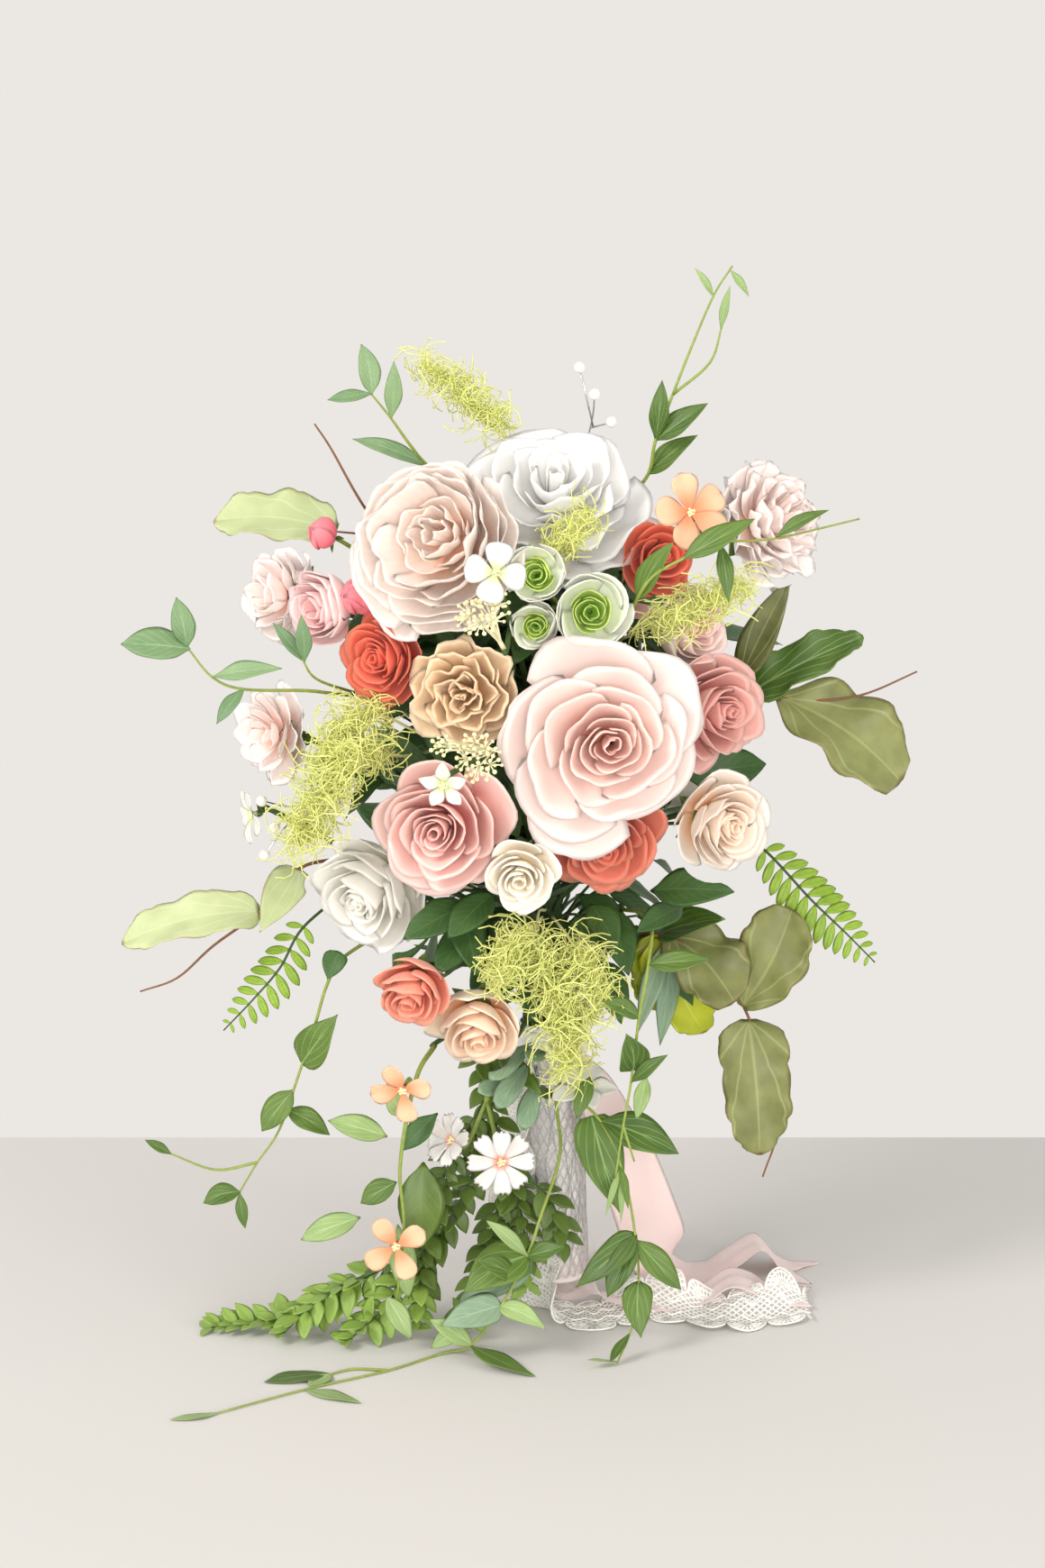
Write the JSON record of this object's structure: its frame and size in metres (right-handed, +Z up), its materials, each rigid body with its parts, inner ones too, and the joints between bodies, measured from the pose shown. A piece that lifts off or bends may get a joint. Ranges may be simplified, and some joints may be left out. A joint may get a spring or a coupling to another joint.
{
  "type": "bridal bouquet",
  "caption": "Cascading bridal bouquet of foam and cloth blooms with trailing greenery, standing on its ribbon-wrapped stem bundle with ribbon and lace tails.",
  "frame": {"origin": "centre of the cut stem ends at the foot of the wrapped handle, on the surface it stands on", "axes": "+Z up along the handle; -Y towards the show side; +X to the right of someone looking at the show side"},
  "size_m": [0.432, 0.3341, 0.5767],
  "materials": {
    "apricot": "thin printed cloth, apricot",
    "berry": "small foam beads, cream",
    "blush": "soft matte foam, blush",
    "champagne": "soft matte foam, beige",
    "coral": "soft matte foam, coral",
    "cream": "soft matte foam, cream",
    "dusty": "soft matte foam, dusty pink",
    "ivory": "soft matte foam, off-white",
    "lace": "cotton lace, off-white",
    "leaf": "printed cloth leaf, mid green",
    "leaf_dark": "moulded plastic leaf, dark olive",
    "leaf_olive": "printed cloth leaf, olive",
    "leaf_pale": "printed cloth leaf, pale green",
    "lime": "thin cloth, white with lime centres",
    "moss": "curled plastic fibre, lime green",
    "peach": "thin printed cloth, peach",
    "pearl": "pearl bead on silver wire",
    "pink": "thin printed cloth, rose pink",
    "ribbon": "sheer woven ribbon, blush pink",
    "satin": "plain woven wrap, off-white",
    "stem": "tape-wrapped wire, dark green",
    "terracotta": "soft matte foam, terracotta",
    "white": "soft matte foam, white"
  },
  "bodies": {
    "root": {"berries_front": "berry", "berries_left": "berry", "boxwood_cascade": "leaf_dark", "buds_pink": "pink", "carnation_pink": "blush", "clematis": "leaf", "cosmos_white": "white", "fern_left": "leaf", "fern_right": "leaf_pale", "floret_white_front": "white", "floret_white_left": "white", "floret_white_low": "white", "gardenia_left": "cream", "grape_left_low": "leaf_olive", "grape_left_up": "leaf_pale", "grape_right_low": "leaf_olive", "grape_right_mid": "leaf_olive", "grip_band": "satin", "handle_wrap": "satin", "lace_tail": "lace", "lace_wrap": "lace", "moss_left": "moss", "moss_low": "moss", "orchid_peach": "apricot", "orchid_peach_right": "apricot", "pearls_left": "pearl", "pearls_top": "pearl", "peony_peach": "peach", "ranunculus_green": "lime", "ranunculus_pale_left": "blush", "ranunculus_rose_left": "pink", "ribbon_tail_front": "ribbon", "ribbon_tail_right": "ribbon", "rose_blush_back": "blush", "rose_blush_large": "blush", "rose_blush_right": "blush", "rose_champagne": "champagne", "rose_champagne_back": "champagne", "rose_coral_left": "coral", "rose_coral_right": "coral", "rose_coral_small": "coral", "rose_cream_small": "cream", "rose_dusty_back": "dusty", "rose_dusty_large": "dusty", "rose_dusty_right": "dusty", "rose_ivory_back": "ivory", "rose_ivory_left": "ivory", "rose_peach_back": "peach", "rose_peach_low": "apricot", "rose_peach_right": "peach", "rose_terracotta": "terracotta", "rose_white_large": "white", "star_flower": "white", "stem_bundle": "stem", "tendril_top": "leaf_pale", "vine_left_low": "leaf", "vine_left_upper": "leaf_pale", "vine_right_hang": "leaf", "vine_right_mid": "leaf_pale", "vine_top_left": "leaf_pale"}
  },
  "joints": []
}
